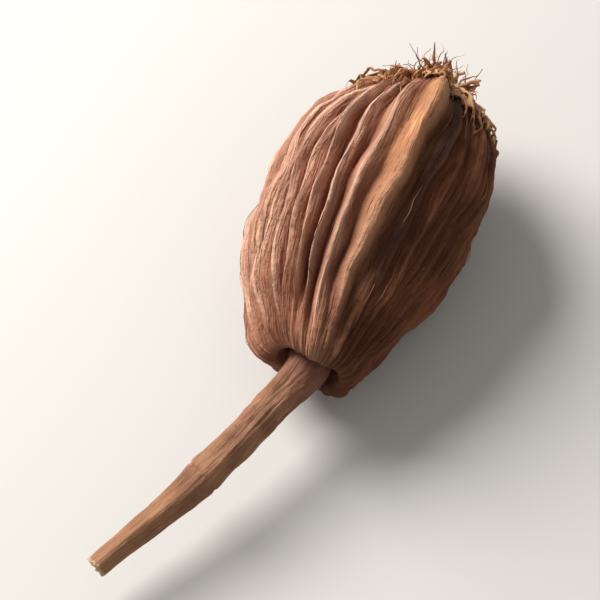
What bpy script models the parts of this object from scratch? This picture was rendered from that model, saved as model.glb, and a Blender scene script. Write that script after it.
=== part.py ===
"""A dried black cardamom pod, picked with its stalk, lying on its side.

The ribbed husk lies along X with its apex at +X. The origin is the middle of the small flat spot it rests on,
and +Z is up. Lengths are in metres and angles in radians, unless a name says otherwise.
"""

import math

import bmesh
import bpy
import numpy as np
from mathutils import Matrix, Vector

MM = 0.001
TURN = 2 * math.pi
GOLDEN_ANGLE = math.pi * (3 - math.sqrt(5))

# Half of the husk's long section in millimetres: the floor and wall of the pit at its base, the base, the
# belly, the shoulder, and the pit at its apex. A point has its distance along the axis, its section's radius,
# and how far that section sits to the side, because the pod is fuller on one side near its base
HUSK_OUTLINE_MM = (
    (-10.2, 0.9, 0.0), (-10.3, 2.0, 0.0), (-11.3, 2.2, 0.0), (-11.9, 2.65, 0.1), (-11.4, 3.3, 0.3),
    (-9.2, 4.3, 0.8), (-6.4, 5.5, 1.2), (-2.8, 6.7, 1.2), (1.4, 7.4, 0.8), (5.2, 7.6, 0.3),
    (8.4, 6.8, -0.1), (10.4, 5.4, -0.3), (11.9, 3.8, -0.2), (12.1, 2.8, -0.1), (11.3, 2.1, 0.0),
    (11.0, 0.9, 0.0),
)
FULL_SIDE_ANGLE = math.radians(-10)
ROWS_IN_STRETCHES = (1, 2, 2, 2, 3, 3, 3, 3, 3, 3, 3, 3, 2, 2, 1)
# Shares of the outline's length at the rims of the two pits, and where the body between them is full
BASE_RIM_AT, BODY_FROM, BODY_TO, APEX_RIM_AT = 0.07, 0.25, 0.80, 0.955
# The section is a little wider than tall, with three blunt corners that end in lobes around the base's pit
HUSK_FLATNESS = 0.035
CORNERS = 3
CORNER_SWELL = 0.040
LOBE_REACH = 0.9 * MM
LOBE_PEAK_AT, LOBE_END_AT = 0.11, 0.30

# The ribs run from the base to the apex. The first is the highest and broadest, and lies on the upper side
RIBS = 28
FIRST_RIB_ANGLE = math.radians(107)
FIRST_RIB_BREADTH = 0.35
FIRST_RIB_SPREAD = 3.0
FIRST_RIB_HEIGHT = 0.55 * MM
FIRST_GROOVE_DEPTH = 0.30 * MM
FIRST_RIB_RISES = (0.30, 0.62)
FIRST_RIB_SINKS = (0.95, 0.84)
FIRST_GROOVE_SINKS = (0.45, 0.62)
FIRST_RIB_SHARPNESS = 1.25
RIB_HEIGHT = 0.78 * MM
RIB_SHARPNESS = 1.9
RIB_SWELL = 0.22
RIB_SWELL_TURNS = 1.4
RIB_BUMP = 0.11
RIB_BUMP_TURNS = 5.5
GROOVE_DEPTH = 0.95 * MM
GROOVE_RUN_OUT = 0.12
# Shares of their full size that the ribs' heights and the grooves' depths are spread over, and shares of the
# husk's length where the grooves begin and finish
RIB_HEIGHT_SHARES = (0.62, 1.0)
GROOVE_DEPTH_SHARES = (0.55, 1.0)
GROOVE_BEGINS = (0.08, 0.28)
GROOVE_FINISHES = (0.95, 0.79)
# Irrational steps that spread those values evenly from rib to rib
HEIGHT_STEP, DEPTH_STEP, BEGIN_STEP, FINISH_STEP = 0.618034, 0.754877, 0.569840, 0.324718
CROWDING = 0.18
CROWDED_TURN = math.radians(-80)
TWIST = math.radians(-14)
# The flank beyond the first rib has shallow grooves
CALM_TURN = math.radians(44)
CALM_SPREAD = math.radians(31)
CALM_LOSS = 0.80
# A long hollow lies beside the first rib, on that flank
HOLLOW_TURN = math.radians(22)
HOLLOW_SPREAD = math.radians(14)
HOLLOW_RUN = (0.42, 0.66)
HOLLOW_DEPTH = 0.90 * MM
# The skin stands up in a wavy lip around the flower: lip waves around the husk, and their share of its height
LIP_AT = 0.922
LIP_SPREAD = 0.017
LIP_HEIGHT = 0.32 * MM
LIP_WAVES = ((3, 0, 0.15, 0.22), (7, 0, 0.60, 0.20), (11, 0, 0.35, 0.14))

# Sideways waves of the ribs: turns around the husk, turns along it, start of the wave, size in radians
RIB_WAVES = (
    (2, 0.9, 0.10, 0.030),
    (5, -1.6, 0.35, 0.012),
    (7, 0.4, 0.80, 0.010),
    (9, 3.1, 0.55, 0.009),
    (4, 5.3, 0.30, 0.008),
    (11, -6.2, 0.70, 0.006),
)
# Dents and swellings of the whole wall, in the same order, size in metres
WALL_WAVES = (
    (1, 1.3, 0.60, 0.18 * MM),
    (2, -1.1, 0.05, 0.20 * MM),
    (3, 2.2, 0.45, 0.16 * MM),
    (4, -2.9, 0.70, 0.10 * MM),
)

# How the pod lies, where its ribs are pressed together, and how deep and where its underside is flat
REST_PITCH = math.radians(-4.5)
REST_ANGLE = math.radians(270)
PRESSED_SPREAD = math.radians(26)
PRESSED_AT = 0.46
PRESSED_LENGTH = 0.17
PRESSED_SHARE = 0.85
FLAT_SPOT_DEPTH = 0.60 * MM
FLAT_SPOT_X = 1.14 * MM
FLAT_SPOT_Y = 0.25 * MM

# The stalk: its run from the pit at the base to the cut tip, and its radii
STALK_START_X = -10.6 * MM
STALK_REACH = (-20.9 * MM, 8.1 * MM, -2.4 * MM)
STALK_FIRST_PULL = 6.0 * MM
STALK_LAST_PULL = 9.0 * MM
STALK_END_TURN = math.radians(20)
STALK_SWAY = (0.14 * MM, 0.32 * MM, 0.0)
STALK_ROOT_RADIUS = 1.75 * MM
STALK_ROOT_RUN = 0.17
STALK_RADIUS = 1.20 * MM
STALK_TIP_RADIUS = 0.88 * MM
STALK_JOINT_AT = 0.60
STALK_JOINT_RUN = 0.05
STALK_JOINT_SWELL = 0.16 * MM
STALK_FOLDS = 5
STALK_FOLD_DEPTH = 0.07
STALK_FOLD_TWIST = 4.0
STALK_FLATNESS = 0.05

# The dried flower at the apex: a short fluted tube, and the strands and scraps that fray out of it
TUBE_START_X = 11.35 * MM
TUBE_LENGTH = 2.4 * MM
TUBE_ROOT_RADIUS = 1.40 * MM
TUBE_RADIUS = 1.95 * MM
TUBE_MOUTH_RADIUS = 1.45 * MM
TUBE_FLUTES = 7
TUBE_FLUTE_DEPTH = 0.09
STRANDS = 27
SCRAP_EVERY = 3
SCRAP_BREADTH = 2.4
STRAND_ROOTS_AT = 0.75
STRAND_ROOTS_RADIUS = 1.2 * MM
STRAND_LENGTHS = (2.4 * MM, 4.2 * MM)
STRAND_LEANS = (math.radians(10), math.radians(66))
STRAND_CURLS = (math.radians(-50), math.radians(66))
STRAND_RADII = (0.34 * MM, 0.20 * MM)

# How finely each piece is divided
COLUMNS_PER_RIB = 4
STALK_SIDES = 16
STALK_ROWS = 34
TUBE_ROWS = 6
STRAND_SIDES = 6
STRAND_ROWS = 6
SHARP_EDGE = math.radians(60)

HUSK_COLOUR = (0.150, 0.070, 0.045, 1.0)
HUSK_ROUGHNESS = 0.78
STALK_COLOUR = (0.290, 0.160, 0.095, 1.0)
STALK_ROUGHNESS = 0.70
FLOWER_COLOUR = (0.270, 0.155, 0.070, 1.0)
FLOWER_ROUGHNESS = 0.80


def clear_scene():
    for obj in list(bpy.data.objects):
        bpy.data.objects.remove(obj)


def dry_material(name, colour, roughness):
    material = bpy.data.materials.new(name)
    material.use_nodes = True
    shader = material.node_tree.nodes["Principled BSDF"]
    shader.inputs["Base Color"].default_value = colour
    shader.inputs["Roughness"].default_value = roughness
    shader.inputs["Metallic"].default_value = 0.0
    return material


def blend(low, high, share):
    return low + (high - low) * share


def ease(low, high, value):
    """Rises smoothly from 0 at low to 1 at high."""
    share = np.clip((value - low) / (high - low), 0, 1)
    return share * share * (3 - 2 * share)


def bell(value, width):
    return np.exp(-((value / width) ** 2))


def scatter(step, index, start, low, high):
    """A value between low and high for each index, spread evenly by multiples of an irrational step."""
    return blend(low, high, (step * index + start) % 1)


def sum_of_waves(waves, around, along):
    return sum(
        size * np.sin(TURN * (turns_around * around + turns_along * along + start))
        for turns_around, turns_along, start, size in waves
    )


def smooth_through(points, rows_in_stretches):
    """A smooth line through the points, with its own number of rows from each point to the next."""
    knots = np.array(points)
    before, after = 2 * knots[0] - knots[1], 2 * knots[-1] - knots[-2]
    knots = np.concatenate([[before], knots, [after]])
    line = []
    for a, b, c, d, rows in zip(knots, knots[1:], knots[2:], knots[3:], rows_in_stretches):
        for share in np.arange(rows) / rows:
            bend = (2 * a - 5 * b + 4 * c - d) * share**2 + (3 * b - a - 3 * c + d) * share**3
            line.append(b + ((c - a) * share + bend) / 2)
    return np.array(line + [knots[-2]])


def crest_height(rib, along):
    """Height of a rib's crest over the smooth husk."""
    own = scatter(HEIGHT_STEP, rib, 0.3, *RIB_HEIGHT_SHARES)
    swell = 1 + RIB_SWELL * np.sin(TURN * (RIB_SWELL_TURNS * along + 0.37 * rib))
    bumps = 1 + RIB_BUMP * np.sin(TURN * (RIB_BUMP_TURNS * along + 0.71 * rib))
    first = FIRST_RIB_HEIGHT * (rib == 0) * ease(*FIRST_RIB_RISES, along) * ease(*FIRST_RIB_SINKS, along)
    return RIB_HEIGHT * own * swell * bumps + first


def groove_depth(groove, along):
    """Depth of the groove after each rib. Some grooves run out before the ends, so that their ribs merge."""
    own = scatter(DEPTH_STEP, groove, 0.1, *GROOVE_DEPTH_SHARES)
    begin = scatter(BEGIN_STEP, groove, 0.2, *GROOVE_BEGINS)
    finish = scatter(FINISH_STEP, groove, 0.6, *GROOVE_FINISHES)
    run = ease(begin, begin + GROOVE_RUN_OUT, along) * ease(finish, finish - GROOVE_RUN_OUT, along)
    calm = 1 - CALM_LOSS * bell(TURN * (groove + 0.5) / RIBS - CALM_TURN, CALM_SPREAD)
    first = FIRST_GROOVE_DEPTH * (groove == 0) * ease(*FIRST_GROOVE_SINKS, along)
    return (GROOVE_DEPTH * own * calm + first) * run


def rib_relief(around, along):
    """Height of the ribs over the smooth husk, with the first rib's crest at around = 0."""
    rib = np.floor(around * RIBS)
    across = around * RIBS - rib
    crests = blend(crest_height(rib, along), crest_height((rib + 1) % RIBS, along), ease(0, 1, across))
    near_first = bell((around - np.round(around)) * RIBS, FIRST_RIB_SPREAD)
    sharpness = blend(RIB_SHARPNESS, FIRST_RIB_SHARPNESS, near_first)
    valley = 1 - np.abs(np.cos(math.pi * across)) ** sharpness
    return crests - groove_depth(rib, along) * valley


def rib_angle(around, along, body):
    """Angle around the axis of each place on the husk. It crowds some ribs and spreads the first one."""
    turned = TURN * around
    crowd = np.sin(turned - CROWDED_TURN) + math.sin(CROWDED_TURN)
    from_first = turned - TURN * np.round(around)
    spread = FIRST_RIB_BREADTH * from_first * bell(from_first * RIBS / TURN, FIRST_RIB_SPREAD)
    sideways = TWIST * (along - 0.5) + sum_of_waves(RIB_WAVES, around, along) * body
    return FIRST_RIB_ANGLE + turned - CROWDING * crowd + spread * body + sideways


def husk_points(columns):
    """Rows of points on the husk, from the pit at its base to the pit at its apex, before it is laid down."""
    outline = smooth_through(HUSK_OUTLINE_MM, ROWS_IN_STRETCHES) * MM
    steps = np.linalg.norm(np.diff(outline, axis=0), axis=1)
    along = np.concatenate([[0], np.cumsum(steps)])[:, None] / steps.sum()
    around = np.arange(columns)[None, :] / columns
    body = ease(BASE_RIM_AT, BODY_FROM, along) * ease(APEX_RIM_AT, BODY_TO, along)
    between_rims = ease(BASE_RIM_AT, 2 * BASE_RIM_AT, along) * ease(APEX_RIM_AT, 2 * APEX_RIM_AT - 1, along)
    angle = rib_angle(around, along, body)

    section = 1 + body * HUSK_FLATNESS * np.cos(2 * angle)
    section = section + body * CORNER_SWELL * np.cos(CORNERS * (angle - FIRST_RIB_ANGLE))
    pressed = bell(angle - REST_ANGLE, PRESSED_SPREAD) * bell(along - PRESSED_AT, PRESSED_LENGTH)
    pressed = pressed * PRESSED_SHARE
    relief = blend(rib_relief(around, along), RIB_HEIGHT / 2, pressed) * between_rims
    relief = relief + sum_of_waves(WALL_WAVES, around, along) * body
    hollow = bell(TURN * (around - np.round(around)) - HOLLOW_TURN, HOLLOW_SPREAD)
    relief = relief - HOLLOW_DEPTH * hollow * ease(*HOLLOW_RUN, along) * body
    lip = 1 + sum_of_waves(LIP_WAVES, around, along)
    relief = relief + LIP_HEIGHT * lip * bell(along - LIP_AT, LIP_SPREAD)
    lobes = np.cos(CORNERS * (angle - FIRST_RIB_ANGLE) / 2) ** 2 - 0.5
    reach = LOBE_REACH * ease(BASE_RIM_AT, LOBE_PEAK_AT, along) * ease(LOBE_END_AT, LOBE_PEAK_AT, along)
    relief = relief + reach * lobes

    slope = np.gradient(outline, axis=0)
    slope /= np.linalg.norm(slope, axis=1)[:, None]
    x = outline[:, 0:1] - slope[:, 1:2] * relief
    radius = outline[:, 1:2] * section + slope[:, 0:1] * relief
    to_side = outline[:, 2:3] * np.array([0, math.cos(FULL_SIDE_ANGLE), math.sin(FULL_SIDE_ANGLE)])
    return about_axis(x, radius, angle) + to_side[:, None]


def about_axis(x, radius, angle):
    """Points at a distance from the pod's own axis, before it is laid down."""
    return np.stack(np.broadcast_arrays(x, radius * np.cos(angle), radius * np.sin(angle)), axis=-1)


def mesh_object(name, points, faces, material):
    mesh = bpy.data.meshes.new(name)
    mesh.from_pydata([tuple(point) for point in points], [], faces)
    shape = bmesh.new()
    shape.from_mesh(mesh)
    bmesh.ops.recalc_face_normals(shape, faces=shape.faces)
    shape.to_mesh(mesh)
    shape.free()
    mesh.shade_smooth()
    mesh.set_sharp_from_angle(angle=SHARP_EDGE)
    mesh.materials.append(material)
    obj = bpy.data.objects.new(name, mesh)
    bpy.context.scene.collection.objects.link(obj)
    return obj


def tube_faces(rows, sides):
    """Quads between neighbouring rings, and a fan of triangles at each end around its middle point."""
    faces = []
    last = (rows - 1) * sides
    for side in range(sides):
        after = (side + 1) % sides
        for low in range(0, last, sides):
            faces.append((low + side, low + after, low + sides + after, low + sides + side))
        faces.append((after, side, rows * sides))
        faces.append((last + side, last + after, rows * sides + 1))
    return faces


def closed_tube(name, rings, material):
    """A solid through rings of points, closed at both ends."""
    rows, sides = rings.shape[:2]
    middles = rings[[0, -1]].mean(axis=1)
    points = np.concatenate([rings.reshape(-1, 3), middles])
    return mesh_object(name, points, tube_faces(rows, sides), material)


def rings_along(path, radii):
    """Rings square to a path. radii has one row for each point of the path and one column for each side."""
    heading = np.gradient(path, axis=0)
    heading /= np.linalg.norm(heading, axis=1)[:, None]
    sideways = np.cross(heading, (0.0, 0.0, 1.0))
    sideways /= np.linalg.norm(sideways, axis=1)[:, None]
    upwards = np.cross(sideways, heading)
    turn = TURN * np.arange(radii.shape[1]) / radii.shape[1]
    spokes = sideways[:, None] * np.cos(turn)[None, :, None] + upwards[:, None] * np.sin(turn)[None, :, None]
    return path[:, None] + spokes * radii[..., None]


def laid_down(rest, points):
    """Points of the pod's own axis, to where they come to lie."""
    return points @ rest[:3, :3].T + rest[:3, 3]


def build_husk(rest, material):
    rings = laid_down(rest, husk_points(RIBS * COLUMNS_PER_RIB))
    rings[..., 2] = np.maximum(rings[..., 2], 0)
    return closed_tube("husk", rings, material)


def stalk_path(start, way):
    """The stalk's middle line: out of the pit along the husk's axis, then off to its left and down."""
    share = np.linspace(0, 1, STALK_ROWS)[:, None]
    rest = 1 - share
    end = start + np.array(STALK_REACH)
    last_way = np.array(Matrix.Rotation(-STALK_END_TURN, 3, "Z") @ Vector(way))
    first_pull = start + way * STALK_FIRST_PULL
    last_pull = end - last_way * STALK_LAST_PULL
    path = rest**3 * start + 3 * rest**2 * share * first_pull
    path = path + 3 * rest * share**2 * last_pull + share**3 * end
    return path + np.array(STALK_SWAY) * np.sin(TURN * share) * ease(0.0, 0.3, share)


def build_stalk(start, way, material):
    share = np.linspace(0, 1, STALK_ROWS)[:, None]
    turn = TURN * np.arange(STALK_SIDES)[None, :] / STALK_SIDES
    radius = blend(STALK_RADIUS, STALK_TIP_RADIUS, ease(0.5, 1.0, share))
    radius = radius + (STALK_ROOT_RADIUS - STALK_RADIUS) * bell(share, STALK_ROOT_RUN)
    radius = radius + STALK_JOINT_SWELL * bell(share - STALK_JOINT_AT, STALK_JOINT_RUN)
    beyond_root = ease(0.05, 0.25, share)
    folds = 1 + STALK_FOLD_DEPTH * beyond_root * np.cos(STALK_FOLDS * turn + STALK_FOLD_TWIST * share)
    section = 1 + STALK_FLATNESS * beyond_root * np.cos(2 * turn - STALK_FOLD_TWIST * share)
    return closed_tube("stalk", rings_along(stalk_path(start, way), radius * folds * section), material)


def build_strand(index, rest, material):
    """One frayed strand or flat scrap, which leans out from the flower's axis and bends in an arc."""
    lean = scatter(DEPTH_STEP, index, 0.0, *STRAND_LEANS)
    curl = scatter(BEGIN_STEP, index, 0.3, *STRAND_CURLS)
    length = scatter(FINISH_STEP, index, 0.6, *STRAND_LENGTHS)
    breadth = SCRAP_BREADTH if index % SCRAP_EVERY == 0 else 1
    share = np.linspace(0, 1, STRAND_ROWS)[:, None]
    turn = TURN * np.arange(STRAND_SIDES)[None, :] / STRAND_SIDES
    heading, chord = lean + curl * share, lean + curl * share / 2
    radius = blend(*STRAND_RADII, share)
    outward, across = radius * np.sin(turn), radius * np.cos(turn) * breadth
    root_x = TUBE_START_X + TUBE_LENGTH * STRAND_ROOTS_AT
    x = root_x + length * share * np.cos(chord) + outward * np.sin(heading)
    away = STRAND_ROOTS_RADIUS * math.sin(lean) + length * share * np.sin(chord) - outward * np.cos(heading)
    angle = index * GOLDEN_ANGLE + np.arctan2(across, away)
    rings = about_axis(x, np.hypot(away, across), angle)
    return closed_tube(f"strand_{index:02d}", laid_down(rest, rings), material)


def build_tube(rest, material):
    share = np.linspace(0, 1, TUBE_ROWS)[:, None]
    sides = 2 * TUBE_FLUTES
    turn = TURN * np.arange(sides)[None, :] / sides
    radius = blend(TUBE_ROOT_RADIUS, TUBE_RADIUS, ease(0.1, 0.6, share))
    radius = radius + (TUBE_MOUTH_RADIUS - TUBE_RADIUS) * ease(0.6, 1.0, share)
    radius = radius * (1 + TUBE_FLUTE_DEPTH * ease(0.3, 0.7, share) * np.cos(TUBE_FLUTES * turn))
    rings = about_axis(TUBE_START_X + TUBE_LENGTH * share, radius, turn)
    return closed_tube("dried_flower", laid_down(rest, rings), material)


def join_collection(obj, collection):
    """Unites a solid with every object of a collection, and removes those."""
    join = obj.modifiers.new("join", "BOOLEAN")
    join.operation = "UNION"
    join.operand_type = "COLLECTION"
    join.collection = collection
    join.solver = "EXACT"
    joined = bpy.data.meshes.new_from_object(obj.evaluated_get(bpy.context.evaluated_depsgraph_get()))
    obj.modifiers.clear()
    obj.data = joined
    for member in list(collection.objects):
        bpy.data.objects.remove(member)
    bpy.data.collections.remove(collection)


def build_flower(rest, material):
    """The withered flower: a fluted tube and its strands, joined in one solid."""
    tube = build_tube(rest, material)
    strands = bpy.data.collections.new("strands")
    bpy.context.scene.collection.children.link(strands)
    for index in range(STRANDS):
        strand = build_strand(index, rest, material)
        bpy.context.scene.collection.objects.unlink(strand)
        strands.objects.link(strand)
    join_collection(tube, strands)
    return tube


def rest_placement():
    """Turns and lifts the pod from its own axis to how it lies, with its flat spot at the origin."""
    pitch = np.array(Matrix.Rotation(REST_PITCH, 4, "Y"))
    lowest = laid_down(pitch, husk_points(RIBS * COLUMNS_PER_RIB))[..., 2].min()
    pitch[:3, 3] = -FLAT_SPOT_X, -FLAT_SPOT_Y, -lowest - FLAT_SPOT_DEPTH
    return pitch


def build_pod():
    rest = rest_placement()
    to_apex = rest[:3, 0]
    husk_skin = dry_material("husk", HUSK_COLOUR, HUSK_ROUGHNESS)
    stalk_bark = dry_material("stalk", STALK_COLOUR, STALK_ROUGHNESS)
    flower_fibre = dry_material("dried_flower", FLOWER_COLOUR, FLOWER_ROUGHNESS)
    build_husk(rest, husk_skin)
    build_stalk(laid_down(rest, np.array((STALK_START_X, 0, 0))), -to_apex, stalk_bark)
    build_flower(rest, flower_fibre)


clear_scene()
build_pod()
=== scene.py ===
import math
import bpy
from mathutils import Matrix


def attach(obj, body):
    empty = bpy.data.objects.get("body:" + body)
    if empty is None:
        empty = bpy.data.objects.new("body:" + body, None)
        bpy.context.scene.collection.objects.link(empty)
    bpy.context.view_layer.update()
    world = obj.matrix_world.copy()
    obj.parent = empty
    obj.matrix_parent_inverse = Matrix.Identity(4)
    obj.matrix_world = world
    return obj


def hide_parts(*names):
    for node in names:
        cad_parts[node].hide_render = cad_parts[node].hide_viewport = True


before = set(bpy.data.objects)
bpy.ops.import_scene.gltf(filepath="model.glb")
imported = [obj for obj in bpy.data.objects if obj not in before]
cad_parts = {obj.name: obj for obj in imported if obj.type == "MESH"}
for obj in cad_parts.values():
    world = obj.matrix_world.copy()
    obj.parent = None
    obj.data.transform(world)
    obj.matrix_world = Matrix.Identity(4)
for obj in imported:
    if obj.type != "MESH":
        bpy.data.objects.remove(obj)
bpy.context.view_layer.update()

# The looks of a dried black cardamom pod: its husk, its stalk and its dried flower, each finer than the solid
# it stands for. Lengths are in metres in the solids' frame: +X from the stalk to the dried flower, +Z up.

from types import SimpleNamespace

import bpy
from mathutils import Matrix, Vector

MM = 0.001
TURN = 2 * math.pi

# The camera looks down on the pod from its base end, with the pod filling most of the frame's height
VIEW_AZIMUTH, VIEW_ELEVATION = math.radians(-67), math.radians(60)
LENS, SENSOR = 110.0, 36.0
FRAME_SHARE = 0.86
FLOOR_SIZE = 1.6
FLOOR_COLOUR = (0.58, 0.575, 0.56, 1)

# Each light's azimuth and elevation in degrees, its breadth in metres, its power in watts, and its colour
KEY_LIGHT = (164, 41, 0.20, 1.88, (1.0, 0.96, 0.92))
FILL_LIGHT = (-20, 35, 0.35, 0.06, (0.97, 0.97, 1.0))
LIGHT_DISTANCE = 0.32
ROOM_COLOUR, ROOM_STRENGTH = (1.0, 0.96, 0.91, 1), 0.36

# Half of the husk's long section in millimetres: distance along its axis, the section's radius, and how far
# the section sits to the side
HUSK_OUTLINE_MM = (
    (-10.2, 0.9, 0.0), (-10.3, 2.0, 0.0), (-11.3, 2.2, 0.0), (-11.9, 2.65, 0.1), (-11.4, 3.3, 0.3),
    (-9.2, 4.3, 0.8), (-6.4, 5.5, 1.2), (-2.8, 6.7, 1.2), (1.4, 7.4, 0.8), (5.2, 7.6, 0.3),
    (8.4, 6.8, -0.1), (10.4, 5.4, -0.3), (11.9, 3.8, -0.2), (12.1, 2.8, -0.1), (11.3, 2.1, 0.0),
    (11.0, 0.9, 0.0),
)
FULL_SIDE_ANGLE = math.radians(-10)
BASE_RIM_AT, BODY_FROM, BODY_TO, APEX_RIM_AT = 0.07, 0.25, 0.80, 0.955
HUSK_FLATNESS = 0.035
CORNERS = 3
CORNER_SWELL = 0.040
LOBE_REACH = 0.9 * MM
LOBE_PEAK_AT, LOBE_END_AT = 0.11, 0.30

# The ribs, which run from the base to the apex. The first is the highest and broadest
RIBS = 28
FIRST_RIB_ANGLE = math.radians(107)
FIRST_RIB_BREADTH = 0.35
FIRST_RIB_SPREAD = 3.0
FIRST_RIB_HEIGHT = 0.55 * MM
FIRST_GROOVE_DEPTH = 0.30 * MM
FIRST_RIB_RISES = (0.30, 0.62)
FIRST_RIB_SINKS = (0.95, 0.84)
FIRST_GROOVE_SINKS = (0.45, 0.62)
FIRST_RIB_SHARPNESS = 1.25
RIB_HEIGHT = 0.78 * MM
RIB_SHARPNESS = 1.9
RIB_SWELL = 0.22
RIB_SWELL_TURNS = 1.4
RIB_BUMP = 0.11
RIB_BUMP_TURNS = 5.5
GROOVE_DEPTH = 0.95 * MM
GROOVE_RUN_OUT = 0.12
RIB_HEIGHT_SHARES = (0.62, 1.0)
GROOVE_DEPTH_SHARES = (0.55, 1.0)
GROOVE_BEGINS = (0.08, 0.28)
GROOVE_FINISHES = (0.95, 0.79)
HEIGHT_STEP, DEPTH_STEP, BEGIN_STEP, FINISH_STEP = 0.618034, 0.754877, 0.569840, 0.324718
CROWDING = 0.18
CROWDED_TURN = math.radians(-80)
TWIST = math.radians(-14)
CALM_TURN = math.radians(44)
CALM_SPREAD = math.radians(31)
CALM_LOSS = 0.80
HOLLOW_TURN = math.radians(22)
HOLLOW_SPREAD = math.radians(14)
HOLLOW_RUN = (0.42, 0.66)
HOLLOW_DEPTH = 0.90 * MM
LIP_AT = 0.922
LIP_SPREAD = 0.017
LIP_HEIGHT = 0.32 * MM
LIP_WAVES = ((3, 0, 0.15, 0.22), (7, 0, 0.60, 0.20), (11, 0, 0.35, 0.14))

# Sideways waves of the ribs, then dents of the wall: turns around the husk, turns along it, start, size
RIB_WAVES = (
    (2, 0.9, 0.10, 0.030),
    (5, -1.6, 0.35, 0.012),
    (7, 0.4, 0.80, 0.010),
    (9, 3.1, 0.55, 0.009),
    (4, 5.3, 0.30, 0.008),
    (11, -6.2, 0.70, 0.006),
)
WALL_WAVES = (
    (1, 1.3, 0.60, 0.18 * MM),
    (2, -1.1, 0.05, 0.20 * MM),
    (3, 2.2, 0.45, 0.16 * MM),
    (4, -2.9, 0.70, 0.10 * MM),
)

# How the pod lies, and where its ribs are pressed together
REST_PITCH = math.radians(-4.5)
AXIS_HEIGHT = 6.945 * MM
FLAT_SPOT_X = 1.14 * MM
FLAT_SPOT_Y = 0.25 * MM
REST_ANGLE = math.radians(270)
PRESSED_SPREAD = math.radians(26)
PRESSED_AT, PRESSED_LENGTH, PRESSED_SHARE = 0.46, 0.17, 0.85

# The husk's fine relief, which the solid leaves out, and the middle of its paler side, where the colours
# paint light
HUSK_COLUMNS, HUSK_ROWS = 392, 244
LIT_SIDE_TURN = math.radians(-85)
STRIA_HEIGHT = 0.19 * MM
WRINKLE_HEIGHT = 0.15 * MM
KEEL_HEIGHT = 0.21 * MM
DENT_HEIGHT = 0.20 * MM
KNOT_HEIGHT = 0.26 * MM
CREASE_DEPTH = 0.17 * MM
FINE_CREASE_DEPTH = 0.11 * MM
TORN_HEIGHT = 0.30 * MM
FIRST_CREST_HEIGHT = 0.26 * MM
FIRST_DROP_DEPTH = 0.42 * MM
KEEL_SHARPNESS, BLOOM_AND_HIGHLIGHT_SHARPNESS, SHADE_SHARPNESS = 13.0, 5.0, 1.5
CREASE_BREADTH, FINE_CREASE_BREADTH = 0.075, 0.11
TORN_SPREAD = 0.025
WARP, FIRST_KINK = 0.010, 0.020
FIRST_KINK_TURNS, FIRST_KINK_SPREAD = 19.0, 0.9

# How finely each kind of fine relief is drawn: across the husk, twice, and along it
WARP_SCALE = (5.5, 5.5, 13.0)
STRIA_SCALE = (14.0, 14.0, 3.4)
CREASE_SCALE = (7.5, 7.5, 2.4)
FINE_CREASE_SCALE = (17.0, 17.0, 5.0)
WRINKLE_SCALE = (6.0, 6.0, 27.0)
DENT_SCALE = (2.6, 2.6, 7.0)
KNOT_SCALE = (4.0, 4.0, 21.0)
TORN_SCALE = (7.0, 7.0, 24.0)
RAGGED_SCALE = (9.0, 9.0, 11.0)

# Bands beside the first rib's middle line: how many ribs away each one lies, and how far it spreads
GOLD_BAND, PATCH_BAND = (0.0, 0.43), (-0.45, 0.34)
CREST_BAND, DROP_BAND = (0.06, 0.30), (0.62, 0.22)
# The shade bands paint shade into the skin beside the first rib
NEAR_SHADE_BAND, FAR_SHADE_BAND = (-0.78, 0.30), (0.95, 0.42)
FIRST_FACE_RISES, FIRST_FACE_SINKS = (0.16, 0.42), (0.92, 0.86)
GOLD_PATCH_AT, GOLD_PATCH_REACH = 0.64, 0.055

# The stalk
STALK_START_X = -10.6 * MM
STALK_REACH = Vector((-20.9, 8.1, -2.4)) * MM
STALK_FIRST_PULL = 6.0 * MM
STALK_LAST_PULL = 9.0 * MM
STALK_END_TURN = math.radians(20)
STALK_SWAY = Vector((0.14, 0.32, 0.0)) * MM
STALK_ROOT_RADIUS = 1.75 * MM
STALK_ROOT_RUN = 0.17
STALK_RADIUS = 1.20 * MM
STALK_TIP_RADIUS = 0.88 * MM
STALK_JOINT_AT = 0.60
STALK_JOINT_RUN = 0.05
STALK_JOINT_SWELL = 0.16 * MM
STALK_FOLDS = 5
STALK_FOLD_DEPTH = 0.07
STALK_FOLD_TWIST = 4.0
STALK_FLATNESS = 0.05
STALK_FURROW, STALK_BUMP, STALK_SCAR, STALK_CUT = 0.12, 0.16, 0.06, 0.012
STALK_FURROW_SCALE, STALK_BUMP_SCALE, STALK_CUT_SCALE = (4.2, 4.2, 5.0), (1.4, 1.4, 9.0), (3.0, 3.0, 3.0)
STALK_LOOK_AHEAD = 0.002

# The dried flower
TUBE_START_X = 11.35 * MM
TUBE_LENGTH = 2.4 * MM
TUBE_ROOT_RADIUS = 1.40 * MM
TUBE_RADIUS = 1.95 * MM
TUBE_MOUTH_RADIUS = 1.45 * MM
TUBE_FLUTES = 7
TUBE_FLUTE_DEPTH = 0.09
STRANDS = 27
STRAND_ROOTS_AT = 0.75
TUBE_FIBRE, TUBE_FIBRE_SCALE = 0.22, (5.0, 5.0, 1.5)

# Multiples of these spread the strands and fibres evenly, each of their measures by a step of its own
TURN_STEP, LEAN_STEP, CURL_STEP, LENGTH_STEP, TONE_STEP = 0.618034, 0.754877, 0.569840, 0.324718, 0.414214
RISE_STEP, PLACE_STEP = LEAN_STEP, CURL_STEP
GOLDEN_ANGLE = math.pi * (3 - math.sqrt(5))

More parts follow.
